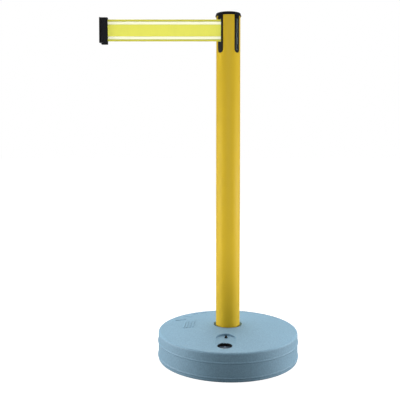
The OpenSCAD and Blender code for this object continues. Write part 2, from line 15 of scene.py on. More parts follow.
import bmesh
import bpy
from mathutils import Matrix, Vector


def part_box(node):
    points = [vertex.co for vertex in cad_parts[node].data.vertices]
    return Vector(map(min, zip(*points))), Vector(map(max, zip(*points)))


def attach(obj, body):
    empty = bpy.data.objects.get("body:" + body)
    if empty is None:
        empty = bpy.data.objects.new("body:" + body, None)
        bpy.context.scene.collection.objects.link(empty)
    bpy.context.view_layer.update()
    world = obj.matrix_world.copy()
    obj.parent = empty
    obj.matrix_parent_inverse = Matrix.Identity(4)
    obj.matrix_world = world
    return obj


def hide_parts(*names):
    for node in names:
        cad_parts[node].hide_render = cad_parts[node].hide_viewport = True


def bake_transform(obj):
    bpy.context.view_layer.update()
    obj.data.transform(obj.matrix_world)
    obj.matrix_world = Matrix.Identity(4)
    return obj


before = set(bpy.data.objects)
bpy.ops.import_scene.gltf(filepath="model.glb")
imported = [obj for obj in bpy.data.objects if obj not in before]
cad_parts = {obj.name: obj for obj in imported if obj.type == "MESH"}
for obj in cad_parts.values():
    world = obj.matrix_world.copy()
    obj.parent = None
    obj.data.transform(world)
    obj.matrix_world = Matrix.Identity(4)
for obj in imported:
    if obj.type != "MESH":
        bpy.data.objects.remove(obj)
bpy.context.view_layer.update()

log = logging.getLogger("belt_post")

MM = 0.001
HIGHLIGHT_BLUR = 0.3  # half width of the change from a plastic's colour to its painted highlight, in millimetres
PORES = 260.0  # pores in a metre of rough plastic
HAIR = 0.05  # least depth of a cut, in millimetres
RIM_SWEEP = 82.0  # degrees of the round on a cut's upper edge, which then flares outwards
SLOT_TURNS = (-45.0, 45.0, 135.0, 225.0)  # the four slots' angles about the post's axis

Piece = bpy.types.Object
Material = bpy.types.Material
Output = bpy.types.NodeSocket
Point2 = tuple[float, float]
Point3 = tuple[float, float, float]
Corner = tuple[float, float, float]
Colour = tuple[float, float, float]
Height = Callable[[float, float], float]
RingMaker = Callable[[float, Height], list[Point3]]


# ---------- measures and outlines ----------


def low(node: str) -> Vector:
    """Returns the lowest corner of a CAD node, in millimetres."""
    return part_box(node)[0] / MM


def high(node: str) -> Vector:
    """Returns the highest corner of a CAD node, in millimetres."""
    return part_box(node)[1] / MM


def soften(corners: Sequence[Corner], steps: int = 6) -> list[Point2]:
    """Rounds the corners of a closed outline.

    Args:
        corners: Each corner as (x, y, radius), in order round the outline; radius 0 stays sharp.
        steps: Straight pieces in each rounded corner.

    Returns:
        The outline's points.
    """
    points: list[Point2] = []
    for i, (x, y, radius) in enumerate(corners):
        if radius <= 0:
            points.append((x, y))
            continue
        here = Vector((x, y))
        before = (Vector(corners[i - 1][:2]) - here).normalized()
        after = (Vector(corners[(i + 1) % len(corners)][:2]) - here).normalized()
        half = before.angle(after) / 2
        centre = here + (before + after).normalized() * (radius / math.sin(half))
        start = here + before * (radius / math.tan(half)) - centre
        end = here + after * (radius / math.tan(half)) - centre
        first = math.atan2(start.y, start.x)
        sweep = (math.atan2(end.y, end.x) - first + math.pi) % math.tau - math.pi
        for k in range(steps + 1):
            a = first + sweep * k / steps
            points.append((centre.x + radius * math.cos(a), centre.y + radius * math.sin(a)))
    return points


def turned(points: Iterable[Point3], degrees: float) -> list[Point3]:
    """Returns points turned about the post's axis, anticlockwise from above."""
    c, s = math.cos(math.radians(degrees)), math.sin(math.radians(degrees))
    return [(x * c - y * s, x * s + y * c, z) for x, y, z in points]


# ---------- mesh making ----------


def mesh_object(
    name: str, points: Iterable[Point3], faces: Iterable[Sequence[int]]
) -> Piece:
    """Makes an object from points in millimetres.

    Args:
        name: Name of the piece.
        points: The mesh's points.
        faces: Indices into the points.

    Returns:
        The object, linked into the scene, with all its faces looking outwards.
    """
    mesh = bpy.data.meshes.new(name)
    mesh.from_pydata([Vector(p) * MM for p in points], [], list(faces))
    work = bmesh.new()
    work.from_mesh(mesh)
    bmesh.ops.recalc_face_normals(work, faces=work.faces)
    work.to_mesh(mesh)
    work.free()
    piece = bpy.data.objects.new(name, mesh)
    bpy.context.scene.collection.objects.link(piece)
    return piece


def lathe(name: str, outline: Sequence[Point2], steps: int) -> Piece:
    """Turns a closed outline about the post's axis.

    Args:
        name: Name of the piece.
        outline: Points as (radius, height), none of them on the axis.
        steps: Straight pieces in a full turn.

    Returns:
        A closed ring.
    """
    n = len(outline)
    points = []
    faces = []
    for i in range(steps):
        a = math.tau * i / steps
        points += [(r * math.cos(a), r * math.sin(a), z) for r, z in outline]
        here, beyond = i * n, (i + 1) % steps * n
        for j in range(n):
            after = (j + 1) % n
            faces.append((here + j, here + after, beyond + after, beyond + j))
    return mesh_object(name, points, faces)


def loft(name: str, rings: Sequence[Sequence[Point3]]) -> Piece:
    """Joins rings of equal length into a closed body with flat ends.

    Args:
        name: Name of the piece.
        rings: The rings, in order, each with the same number of points.

    Returns:
        The closed body.
    """
    n = len(rings[0])
    points = [p for ring in rings for p in ring]
    faces: list[tuple[int, ...]] = [
        (k * n + j, k * n + (j + 1) % n, (k + 1) * n + (j + 1) % n, (k + 1) * n + j)
        for k in range(len(rings) - 1)
        for j in range(n)
    ]
    faces.append(tuple(range(n)))
    faces.append(tuple(range((len(rings) - 1) * n, len(rings) * n)))
    return mesh_object(name, points, faces)


def circle(radius: float, z: float, steps: int = 72, at: Point2 = (0, 0)) -> list[Point3]:
    """Returns a level ring of points round a centre."""
    angles = [math.tau * i / steps for i in range(steps)]
    return [(at[0] + radius * math.cos(a), at[1] + radius * math.sin(a), z) for a in angles]


def quarter(radius: float, degrees: float, steps: int) -> list[Point2]:
    """Returns a round's points, from its lower end, as (sideways, short of the round's top)."""
    angles = [math.radians(degrees) * k / steps for k in range(steps + 1)]
    return [(radius * (1 - math.cos(a)), radius * (1 - math.sin(a))) for a in angles]


class Cut(Enum):
    """How one body changes another."""

    AWAY = "DIFFERENCE"
    ONTO = "UNION"


def keep_modifiers(piece: Piece) -> None:
    """Turns a piece's modifiers into its own mesh.

    Args:
        piece: The piece.
    """
    graph = bpy.context.evaluated_depsgraph_get()
    mesh = bpy.data.meshes.new_from_object(piece.evaluated_get(graph))
    piece.modifiers.clear()
    piece.data = mesh


def carve(piece: Piece, tools: Iterable[Piece], cut: Cut = Cut.AWAY) -> None:
    """Cuts bodies out of a piece, or joins them to it, and removes them.

    Args:
        piece: The piece that changes.
        tools: Closed bodies.
        cut: Whether they are cut away or joined on.
    """
    tools = list(tools)
    for tool in tools:
        step = piece.modifiers.new("cut", "BOOLEAN")
        step.operation = cut.value
        step.solver = "MANIFOLD"
        step.object = tool
    keep_modifiers(piece)
    for tool in tools:
        bpy.data.objects.remove(tool)


def smooth(piece: Piece, sharp_over: float = 35.0) -> None:
    """Shades a piece smoothly, with its normals led by its larger faces.

    Args:
        piece: The piece.
        sharp_over: Angle in degrees over which an edge stays sharp.
    """
    mesh = piece.data
    mesh.polygons.foreach_set("use_smooth", [True] * len(mesh.polygons))
    mesh.set_sharp_from_angle(angle=math.radians(sharp_over))
    lead = piece.modifiers.new("lead", "WEIGHTED_NORMAL")
    lead.keep_sharp = True
    lead.weight = 80


def break_edges(piece: Piece, width: float, steps: int = 2) -> None:
    """Breaks the sharp edges of a CAD node with small rounds that leave its own mesh as it is.

    Args:
        piece: The CAD node.
        width: Width of each round, in millimetres.
        steps: Straight pieces in each round.
    """
    weld = piece.modifiers.new("weld", "WELD")
    weld.merge_threshold = 0.002 * MM
    edge = piece.modifiers.new("edge", "BEVEL")
    edge.width = width * MM
    edge.segments = steps
    edge.limit_method = "ANGLE"
    edge.angle_limit = math.radians(40)
    edge.use_clamp_overlap = True
    edge.harden_normals = True


# ---------- finishes ----------


class Recipe:
    """A material in the making: its node tree, with the shader in place."""

    def __init__(self, name: str) -> None:
        """Starts a material with a Principled shader and an output.

        Args:
            name: Name of the material.
        """
        self.material = bpy.data.materials.new(name)
        self.material.use_nodes = True
        self.tree = self.material.node_tree
        self.tree.nodes.clear()
        self.shader = self.tree.nodes.new("ShaderNodeBsdfPrincipled")
        output = self.tree.nodes.new("ShaderNodeOutputMaterial")
        self.tree.links.new(self.shader.outputs[0], output.inputs[0])
        self.place = self.tree.nodes.new("ShaderNodeTexCoord").outputs["Object"]

    def set(self, **values: object) -> None:
        """Gives outputs or numbers to the shader's sockets, named with _ for each space."""
        for key, value in values.items():
            self.feed(self.shader.inputs[key.replace("_", " ")], value)

    def feed(self, socket: object, value: object) -> None:
        """Links a socket to an output, or gives it a value.

        Args:
            socket: The socket.
            value: An output, a number or a colour.
        """
        if isinstance(value, Output):
            self.tree.links.new(value, socket)
        elif isinstance(value, tuple) and len(value) == 3 and socket.type == "RGBA":
            socket.default_value = (*value, 1.0)
        else:
            socket.default_value = value

    def node(self, kind: str, inputs: dict[str, object], **settings: object) -> bpy.types.Node:
        """Adds a node.

        Args:
            kind: The node's type.
            inputs: Its inputs by name, as outputs to link or as numbers.
            settings: Its own properties.

        Returns:
            The node.
        """
        made = self.tree.nodes.new(kind)
        for key, value in settings.items():
            setattr(made, key, value)
        for key, value in inputs.items():
            self.feed(made.inputs[key], value)
        return made

    def maths(self, operation: str, *values: object) -> Output:
        """Works on numbers and outputs.

        Args:
            operation: What is done, as Blender names it.
            values: What it is done to.

        Returns:
            The result.
        """
        made = self.tree.nodes.new("ShaderNodeMath")
        made.operation = operation
        for socket, value in zip(made.inputs, values):
            self.feed(socket, value)
        return made.outputs[0]

    def noise(self, scale: float, detail: float = 2.0, rough: float = 0.5) -> Output:
        """Returns noise from 0 to 1; scale is in lumps per metre."""
        settings = {"Vector": self.place, "Scale": scale, "Detail": detail, "Roughness": rough}
        return self.node("ShaderNodeTexNoise", settings).outputs[0]

    def mix(self, share: object, first: object, second: object) -> Output:
        """Blends two colours.

        Args:
            share: Share of the second, from 0 to 1.
            first: The first colour.
            second: The second colour.

        Returns:
            The blend.
        """
        made = self.tree.nodes.new("ShaderNodeMix")
        made.data_type = "RGBA"
        self.feed(made.inputs[0], share)
        self.feed(made.inputs[6], first)
        self.feed(made.inputs[7], second)
        return made.outputs[2]

    def darker(self, colour: Output, value: float) -> Output:
        """Returns a colour at a share of its brightness."""
        return self.node("ShaderNodeHueSaturation", {"Color": colour, "Value": value}).outputs[0]

    def spread(
        self, value: object, least: float, most: float, start: float = 0.0, end: float = 1.0
    ) -> Output:
        """Returns a number moved from the range start to end into the range least to most."""
        ends = {"Value": value, "From Min": start, "From Max": end, "To Min": least, "To Max": most}
        return self.node("ShaderNodeMapRange", ends).outputs[0]

    def arches(self, count: object) -> Output:
        """Returns a row of arches from 0 to 1, one for each whole step of the count."""
        return self.maths("SINE", self.maths("MULTIPLY", self.maths("FRACT", count), math.pi))

    def part(self, axis: str) -> Output:
        """Returns one coordinate, in metres."""
        return self.node("ShaderNodeSeparateXYZ", {"Vector": self.place}).outputs[axis]

    def reach(self) -> Output:
        """Measures from the post's axis.

        Returns:
            The distance, in metres.
        """
        inputs = {axis: self.part(axis) for axis in "XY"}
        level = self.node("ShaderNodeCombineXYZ", inputs).outputs[0]
        length = self.node("ShaderNodeVectorMath", {"Vector": level}, operation="LENGTH")
        return length.outputs["Value"]

    def bump(
        self, height: object, depth: float, strength: float = 1.0, under: object = None
    ) -> Output:
        """Roughens the surface.

        Args:
            height: Output that gives the height from 0 to 1.
            depth: Height of 1, in millimetres.
            strength: Share of the effect.
            under: An earlier bump that this one lies on.

        Returns:
            The normal, which also goes to the shader.
        """
        inputs = {"Height": height, "Distance": depth * MM, "Strength": strength}
        made = self.node("ShaderNodeBump", inputs)
        if under is not None:
            self.feed(made.inputs["Normal"], under)
        self.set(Normal=made.outputs[0])
        return made.outputs[0]


def shade(colour: Colour, factor: float) -> Colour:
    """Returns a colour made lighter or darker."""
    return tuple(min(c * factor, 1.0) for c in colour)


@dataclass(frozen=True)
class Plastic:
    """A moulded or extruded plastic with a fine grain.

    Pores darken it by the share fleck. Within a set radius of the post's axis it may take a painted
    highlight: a lighter inner colour that stands for light on the receivers' channel floors.
    """

    name: str
    colour: Colour
    roughness: float = 0.45
    grain: float = 1800.0
    grain_depth: float = 0.05
    mottle: float = 0.05
    mottle_scale: float = 12.0
    gloss: float = 0.5
    fleck: float = 0.0
    # The inner colour is a painted highlight that stands for light on the receivers' channel floors.
    inner: Colour | None = None
    painted_highlight_r: float = 30.2

    def material(self) -> Material:
        """Makes the plastic's material.

        Returns:
            The material.
        """
        recipe = Recipe(self.name)
        cloud = recipe.noise(self.mottle_scale, 4.0, 0.6)
        fleck = recipe.noise(self.grain / 6, 3.0)
        dark, light = shade(self.colour, 1 - self.mottle), shade(self.colour, 1 + self.mottle)
        tone = recipe.mix(cloud, dark, light)
        # Painted highlight: close to the post's axis the tone turns to the lighter inner colour,
        # which stands for light on the receivers' channel floors.
        if self.inner is not None:
            ends = ((self.painted_highlight_r - HIGHLIGHT_BLUR) * MM, (self.painted_highlight_r + HIGHLIGHT_BLUR) * MM)
            tone = recipe.mix(recipe.spread(recipe.reach(), 0.0, 1.0, *ends), self.inner, tone)
        rubbed = shade(self.colour, 1 + 2 * self.mottle)
        worn = recipe.mix(recipe.spread(fleck, 0.0, 0.35, 0.55, 0.75), tone, rubbed)
        if self.fleck:
            pores = recipe.spread(recipe.noise(PORES, 3.0, 0.7), 0.0, 1.0, 0.38, 0.62)
            worn = recipe.mix(pores, recipe.mix(self.fleck, worn, (0.0, 0.0, 0.0)), worn)
        rough = recipe.spread(cloud, self.roughness - 0.05, self.roughness + 0.06, 0.3, 0.7)
        recipe.set(Base_Color=worn, Roughness=rough, Specular_IOR_Level=self.gloss)
        flow = recipe.bump(recipe.noise(self.grain / 20, 2.0), self.grain_depth * 3, 0.3)
        recipe.bump(recipe.noise(self.grain, 3.0, 0.65), self.grain_depth, 0.5, flow)
        return recipe.material


@dataclass(frozen=True)
class Metal:
    """Bare, plated or blued metal with fine drawn lines."""

    name: str
    colour: Colour
    roughness: float = 0.32
    lines: float = 2400.0
    clouds: float = 60.0

    def material(self) -> Material:
        """Makes the metal's material.

        Returns:
            The material.
        """
        recipe = Recipe(self.name)
        cloud = recipe.noise(self.clouds, 5.0, 0.6)
        drawn = recipe.noise(self.lines, 2.0)
        tone = recipe.mix(cloud, shade(self.colour, 0.86), shade(self.colour, 1.1))
        rough = recipe.spread(drawn, self.roughness - 0.08, self.roughness + 0.12, 0.3, 0.7)
        recipe.set(Base_Color=tone, Roughness=rough, Metallic=1.0)
        recipe.bump(drawn, 0.01, 0.4)
        return recipe.material


@dataclass(frozen=True)
class Rubber:
    """Flat rubber with a dusty bloom."""

    name: str
    colour: Colour
    blooms: float = 90.0
    grain: float = 2500.0

    def material(self) -> Material:
        """Makes the rubber's material.

        Returns:
            The material.
        """
        recipe = Recipe(self.name)
        bloom = recipe.noise(self.blooms, 5.0, 0.7)
        tone = recipe.mix(bloom, self.colour, shade(self.colour, 2.2))
        recipe.set(Base_Color=tone, Roughness=0.8, Specular_IOR_Level=0.12)
        recipe.bump(recipe.noise(self.grain, 2.0), 0.03, 0.6)
        return recipe.material


@dataclass(frozen=True)
class Band:
    """One stripe of the webbing, from its top edge down."""

    width: float
    colour: Colour


@dataclass(frozen=True)
class Webbing:
    """Woven striped webbing; its stripes run along the belt and are set by height."""

    name: str
    bands: tuple[Band, ...]
    top: float
    yarn: float = 0.95
    pick: float = 1.9
    turn_gap: float = 0.6
    soil: float = 30.0
    wound: bool = False

    def stripes(self, recipe: Recipe) -> Output:
        """Sets the stripes by height.

        Args:
            recipe: The material in the making.

        Returns:
            The colour at each height.
        """
        whole = sum(band.width for band in self.bands)
        share = recipe.spread(recipe.part("Z"), 0.0, 1.0, self.top * MM, (self.top - whole) * MM)
        made = recipe.node("ShaderNodeValToRGB", {"Fac": share})
        ramp = made.color_ramp
        ramp.interpolation = "CONSTANT"
        ramp.elements[0].color = (*self.bands[0].colour, 1.0)
        ramp.elements[1].position = 1.0
        ramp.elements[1].color = (*self.bands[-1].colour, 1.0)
        passed = self.bands[0].width
        for band in self.bands[1:]:
            ramp.elements.new(passed / whole).color = (*band.colour, 1.0)
            passed += band.width
        return made.outputs[0]

    def weave(self, recipe: Recipe) -> Output:
        """Weaves yarns along the belt, which pass over and under the picks across it.

        Args:
            recipe: The material in the making.

        Returns:
            The height, from 0 to 1.
        """
        across = recipe.maths("DIVIDE", recipe.part("Z"), self.yarn * MM)
        row = recipe.maths("FLOOR", across)
        along = recipe.maths("DIVIDE", recipe.part("X"), self.pick * MM)
        shifted = recipe.maths("ADD", along, recipe.maths("MULTIPLY", row, 0.5))
        over = recipe.maths("SINE", recipe.maths("MULTIPLY", shifted, math.tau))
        crown = recipe.arches(across)
        return recipe.maths("MULTIPLY", crown, recipe.spread(over, 0.55, 1.0, -1.0, 1.0))

    def turns(self, recipe: Recipe) -> Output:
        """Returns the height, from 0 to 1, of the wound turns on the coil's flat ends."""
        return recipe.arches(recipe.maths("DIVIDE", recipe.reach(), self.turn_gap * MM))

    def material(self) -> Material:
        """Makes the webbing's material.

        Returns:
            The material.
        """
        recipe = Recipe(self.name)
        colour = self.stripes(recipe)
        raised = self.weave(recipe)
        # Painted shade: the weave's low places are darkened, standing for the shade between the
        # yarns.
        dark = recipe.darker(colour, 0.86)
        weave_with_painted_shade = recipe.mix(recipe.spread(raised, 0.0, 1.0, 0.1, 0.6), dark, colour)
        soiled = recipe.darker(weave_with_painted_shade, 0.93)
        handled = recipe.spread(recipe.noise(self.soil, 4.0), 0.0, 0.6, 0.45, 0.75)
        recipe.set(Base_Color=recipe.mix(handled, weave_with_painted_shade, soiled), Roughness=0.62)
        recipe.set(Sheen_Weight=0.12, Sheen_Roughness=0.4, Specular_IOR_Level=0.35)
        surface = recipe.bump(raised, 0.16, 0.55)
        if self.wound:
            recipe.bump(self.turns(recipe), 0.3, 0.8, surface)
        return recipe.material


class Slot(Enum):
    """The record's material slots."""

    BASE = "base_plastic"
    PLUG = "plug_plastic"
    SEAL = "seal_rubber"
    POST = "post_plastic"
    BLACK = "black_plastic"
    GREY = "grey_plastic"
    BUSH = "bush_plastic"
    STEEL = "steel"
    BLACK_STEEL = "black_steel"
    SPRING = "spring_steel"
    WEBBING = "webbing"


class Finishes:
    """The materials, one for each slot."""

    def __init__(self) -> None:
        """Makes every material once."""
        belt_top = high("belt_strap").z
        bands = self.bands()
        nylon = Plastic(
            "black_nylon", (0.0032, 0.0036, 0.0052), roughness=0.5, grain=2600, grain_depth=0.04,
            mottle=0.1, gloss=0.08,
        )
        recipes: dict[Slot, Plastic | Metal | Rubber | Webbing] = {
            Slot.BASE: Plastic(
                "blue_grey_polyethylene", (0.168, 0.288, 0.380), roughness=0.55, grain=1500,
                grain_depth=0.09, mottle_scale=9, gloss=0.35, fleck=0.16,
            ),
            Slot.PLUG: Plastic(
                "dark_grey_polyethylene", (0.095, 0.125, 0.165), roughness=0.55, gloss=0.25
            ),
            Slot.SEAL: Rubber("seal_rubber", (0.006, 0.0065, 0.007)),
            Slot.POST: Plastic(
                "yellow_tube_plastic", (0.475, 0.322, 0.014), roughness=0.5, grain=2200,
                grain_depth=0.04, mottle=0.03, mottle_scale=16, gloss=0.12,
            ),
            Slot.BLACK: nylon,
            Slot.GREY: Plastic("dark_grey_acetal", (0.055, 0.057, 0.063), roughness=0.4),
            Slot.BUSH: Plastic("bearing_plastic", (0.60, 0.52, 0.34), roughness=0.4),
            Slot.STEEL: Metal("zinc_plated_steel", (0.62, 0.63, 0.64)),
            Slot.BLACK_STEEL: Metal("black_oxide_steel", (0.035, 0.035, 0.038), 0.45),
            Slot.SPRING: Metal("blued_spring_steel", (0.22, 0.27, 0.36), 0.28),
            Slot.WEBBING: Webbing("striped_webbing", bands, belt_top),
        }
        self.made = {slot: recipe.material() for slot, recipe in recipes.items()}
        self.wound = Webbing("wound_webbing", bands, belt_top, wound=True).material()
        # Black nylon for the receivers with a painted highlight: its lighter blue-grey inner colour
        # stands for light on their channel floors.
        self.insert = replace(
            nylon, name="insert_nylon_painted_highlight", colour=(0.0048, 0.0055, 0.0065), gloss=0.15,
            inner=(0.125, 0.155, 0.165),
        ).material()

    @staticmethod
    def bands() -> tuple[Band, ...]:
        """Sets out the stripes: yellow edges, two white lines and a yellow-green field.

        Returns:
            The stripes, from the belt's top edge down.
        """
        edge = (0.58, 0.56, 0.05)
        line = (0.40, 0.40, 0.12)
        white = (0.98, 0.98, 0.72)
        field = (0.80, 0.785, 0.097)
        half = [Band(5.0, edge), Band(0.6, line), Band(7.0, white), Band(0.6, line)]
        return (*half, Band(30.1, field), *reversed(half))

    def dress(self, piece: Piece, slot: Slot) -> None:
        """Gives one of this file's own pieces its material.

        Args:
            piece: The piece.
            slot: The slot that it takes its finish from.
        """
        piece.data.materials.clear()
        piece.data.materials.append(self.made[slot])

    def dress_node(
        self, node: str, slot: Slot, edge: float = 0.0, steps: int = 2,
        material: Material | None = None,
    ) -> None:
        """Gives a CAD node its material, and breaks its edges.

        Args:
            node: Name of the node.
            slot: The slot that it takes its finish from.
            edge: Width of the rounds on its edges, in millimetres; 0 leaves them sharp.
            steps: Straight pieces in each round.
            material: A material to use in place of the slot's own.
        """
        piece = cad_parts[node]
        if edge:
            break_edges(piece, edge, steps)
        for place in piece.material_slots:
            place.material = material or self.made[slot]


# ---------- base ----------


@dataclass
class FillableBase:
    """The blow-moulded base: a hollow drum with two ribs, a socket and a filling recess."""

    body_r: float = 185.5
    rim_z: float = 72.5
    slope: float = 5.85
    wall: float = 3.0
    shoulder_r: float = 6.0
    rib_heights: tuple[float, float] = (9.5, 46.6)
    rib_half: float = 3.0
    rib_proud: float = 1.75
    foot_in: float = 146.5
    foot_out: float = 184.0
    under_z: float = 6.0
    well_r: float = 36.0
    socket_r: float = 32.05
    socket_floor: float = 14.0
    bolt_r: float = 6.5
    mouth_r: float = 37.6
    mouth_depth: float = 12.0
    recess_r: float = 24.5
    recess_in: float = 99.0
    recess_out: float = 138.5
    recess_turn: float = -5.6
    recess_depth: float = 5.6
    recess_rim: float = 0.8
    recess_foot: float = 0.6
    fill_at: float = 142.0
    fill_r: float = 18.5
    neck_r: float = 15.0
    neck_len: float = 10.0
    notch_r: float = 3.0
    groove_w: float = 9.0
    groove_depth: float = 0.9
    vent_at: float = 87.5
    vent_r: float = 2.4
    vent_foot: float = 60.0
    fill_rim: float = 1.3
    notch_rim: float = 0.6
    vent_rim: float = 0.5
    wall_top: float = 120.0
    cut_top: float = 130.0
    dash_step: float = 1.1
    dash_size: Point2 = (2.2, 1.1)
    long_size: Point2 = (2.6, 1.5)
    short_size: Point2 = (2.4, 1.3)
    grip_size: Point2 = (3.0, 1.5)
    grip_gap: float = 8.0
    part_edge: float = 0.35
    steps: int = 240

    def top_z(self, r: float) -> float:
        """Returns the height of the sloping top at a radius."""
        return self.rim_z + (self.body_r - self.shoulder_r - r) * math.tan(math.radians(self.slope))

    def surface(self, x: float, y: float) -> float:
        """Returns the height of the sloping top at a place."""
        return self.top_z(math.hypot(x, y))

    def floor(self, x: float, y: float) -> float:
        """Finds the recess's floor, which meets the top at its outer end.

        Args:
            x: Place across the recess, before it is turned.
            y: Place along the recess.

        Returns:
            The floor's height.
        """
        first, last = self.recess_in - self.recess_r, self.recess_out + self.recess_r
        start = self.top_z(first) - self.recess_depth
        return start + (self.top_z(last) - start) * (-y - first) / (last - first)

    def rib(self, z: float, middle: float) -> float:
        """Returns how far a rib stands out at a height."""
        share = (z - middle) / self.rib_half
        return self.rib_proud * math.cos(share * math.pi / 2) ** 1.4

    def outline(self) -> list[Point2]:
        """Draws the base's section without its recess.

        Returns:
            Points as (radius, height).
        """
        corners: list[Corner] = [
            (self.bolt_r, self.socket_floor - 4, 0.5),
            (self.well_r, self.socket_floor - 4, 2.0),
            (self.well_r + 4, self.under_z, 2.0),
            (self.foot_in, self.under_z, 3.0),
            (self.foot_in + 6, 0, 1.5),
            (self.foot_out, 0, 0.8),
            (self.body_r, 2.5, 1.0),
        ]
        for middle in self.rib_heights:
            heights = [middle + self.rib_half * (k / 6 - 1) for k in range(13)]
            corners += [(self.body_r + self.rib(z, middle), z, 0) for z in heights]
        tangent = self.shoulder_r * math.tan(math.radians(self.slope))
        lip = self.top_z(self.mouth_r)
        corners += [
            (self.body_r, self.rim_z - tangent, self.shoulder_r),
            (self.mouth_r, lip, 1.8),
            (self.mouth_r - 1.2, lip - 3.0, 2.0),
            (self.socket_r, lip - self.mouth_depth, 4.0),
            (self.socket_r, self.socket_floor, 1.5),
            (self.bolt_r, self.socket_floor, 0.5),
        ]
        return soften(corners)

    def tank(self) -> list[Point2]:
        """Draws the section of the hollow between the skin and the socket.

        Returns:
            Points as (radius, height).
        """
        inner = self.socket_r + self.wall + 0.3
        low_z = self.socket_floor - 4 + self.wall
        drop = self.wall / math.cos(math.radians(self.slope))
        return soften([
            (inner, low_z, 1.0),
            (self.well_r + 1.5, low_z, 1.0),
            (self.well_r + 5.5, self.under_z + self.wall, 1.0),
            (self.foot_in + 1, self.under_z + self.wall, 2.0),
            (self.foot_in + 7, self.wall, 2.0),
            (self.foot_out - 5, self.wall, 2.0),
            (self.body_r - self.wall, self.wall + 2.5, 2.0),
            (self.body_r - self.wall, self.rim_z - self.wall - 0.6, 3.5),
            (self.mouth_r + 4, self.top_z(self.mouth_r + 4) - drop, 3.0),
            (inner, self.top_z(self.mouth_r) - self.mouth_depth - 4, 3.0),
        ], 4)

    def stadium(self, grow: float, height: Height) -> list[Point3]:
        """Returns a ring round the recess's plan.

        Args:
            grow: How far the ring lies outside the recess's plan.
            height: Height at each place, before the recess is turned.

        Returns:
            The ring's points, turned with the recess.
        """
        r = self.recess_r + grow
        ends = ((-self.recess_out, math.pi), (-self.recess_in, 0.0))
        points = []
        for middle, first in ends:
            for k in range(61):
                a = first + math.pi * k / 60
                x, y = r * math.cos(a), middle + r * math.sin(a)
                points.append((x, y, height(x, y)))
        return turned(points, self.recess_turn)

    def rim_rings(
        self, ring: RingMaker, floor: Height, top: Height, rim: float, fillet: float
    ) -> list[list[Point3]]:
        """Returns rings for a cut with a rounded foot and a rounded upper edge.

        Args:
            ring: Makes a ring from how far it grows and from the height at each place.
            floor: Height of the cut's floor.
            top: Height of the surface that the cut starts from.
            rim: Radius of the upper edge.
            fillet: Radius of the foot.

        Returns:
            The rings, from the floor up.
        """

        def depth(x: float, y: float) -> float:
            """Returns the cut's depth, which never falls below a hair's breadth."""
            return max(top(x, y) - floor(x, y), HAIR)

        def foot(x: float, y: float, rise: float) -> float:
            """Returns the height of the rounded foot."""
            return floor(x, y) + min(rise, 0.4 * depth(x, y))

        def edge(x: float, y: float, drop: float) -> float:
            """Returns the height of the rounded upper edge."""
            return floor(x, y) + max(depth(x, y) - drop, 0.5 * depth(x, y))

        rings = [ring(-fillet - 1.0, floor)]
        for rise, inset in quarter(fillet, 90, 5):
            rings.append(ring(-inset, partial(foot, rise=rise)))
        for grow, drop in quarter(rim, RIM_SWEEP, 6):
            rings.append(ring(grow, partial(edge, drop=drop)))
        rings.append(ring(rim + 0.3, lambda x, y: floor(x, y) + depth(x, y) + 0.25))
        rings.append(ring(rim + 0.3, lambda x, y: self.cut_top))
        return rings

    def recess_tool(self) -> Piece:
        """Makes the body that is cut away for the recess.

        Returns:
            The closed body.
        """
        rim, foot = self.recess_rim, self.recess_foot
        rings = self.rim_rings(self.stadium, self.floor, self.surface, rim, foot)
        return loft("recess_tool", rings)

    def hole_tool(
        self, name: str, at: float, radius: float, foot: float, rim: float
    ) -> Piece:
        """Returns the body that is cut away for a round hole in the recess's floor.

        Args:
            name: Name of the body.
            at: The hole's distance from the post's axis.
            radius: The hole's radius.
            foot: Height of the hole's foot.
            rim: Radius of the hole's upper edge.

        Returns:
            The closed body.
        """

        def ring(grow: float, height: Height) -> list[Point3]:
            """Returns a ring round the hole's axis."""
            plan = circle(radius + grow, 0, 96, (0, -at))
            return turned([(x, y, height(x, y)) for x, y, _ in plan], self.recess_turn)

        return loft(name, self.rim_rings(ring, lambda x, y: foot, self.floor, rim, 0.2))

    def groove_tool(self) -> Piece:
        """Makes the body that is cut away for the groove from the vent to the fill hole.

        Returns:
            The closed body.
        """
        half = self.groove_w / 2
        rings = []
        foot = -self.groove_depth
        for grow, lift in ((-0.7, foot), (-0.2, foot + 0.2), (0, 0), (0.3, 0.4), (0.3, 9)):
            reach = half + grow
            arc = [math.pi * k / 16 for k in range(17)]
            plan = [(reach * math.cos(a), -self.vent_at + reach * math.sin(a)) for a in arc]
            plan += [(-reach, -self.fill_at), (reach, -self.fill_at)]
            ring = [(x, y, self.floor(x, y) + lift) for x, y in plan]
            rings.append(turned(ring, self.recess_turn))
        return loft("groove_tool", rings)

    def neck_place(self) -> Point2:
        """Returns the middle of the fill hole, from above."""
        x, y, _ = turned([(0, -self.fill_at, 0)], self.recess_turn)[0]
        return x, y

    def hollow_tool(self) -> Piece:
        """Makes the body of the tank, less the walls of the recess and of the fill neck.

        Returns:
            The closed body.
        """
        hollow = lathe("hollow_tool", self.tank(), 120)
        under = [
            self.stadium(self.wall, lambda x, y: self.floor(x, y) - self.wall),
            self.stadium(self.wall, lambda x, y: self.wall_top),
        ]
        ends = (low("plug_seal").z - self.neck_len, self.wall_top)
        neck = [circle(self.fill_r + self.wall, z, 72, self.neck_place()) for z in ends]
        carve(hollow, [loft("recess_wall", under), loft("neck_wall", neck)])
        return hollow

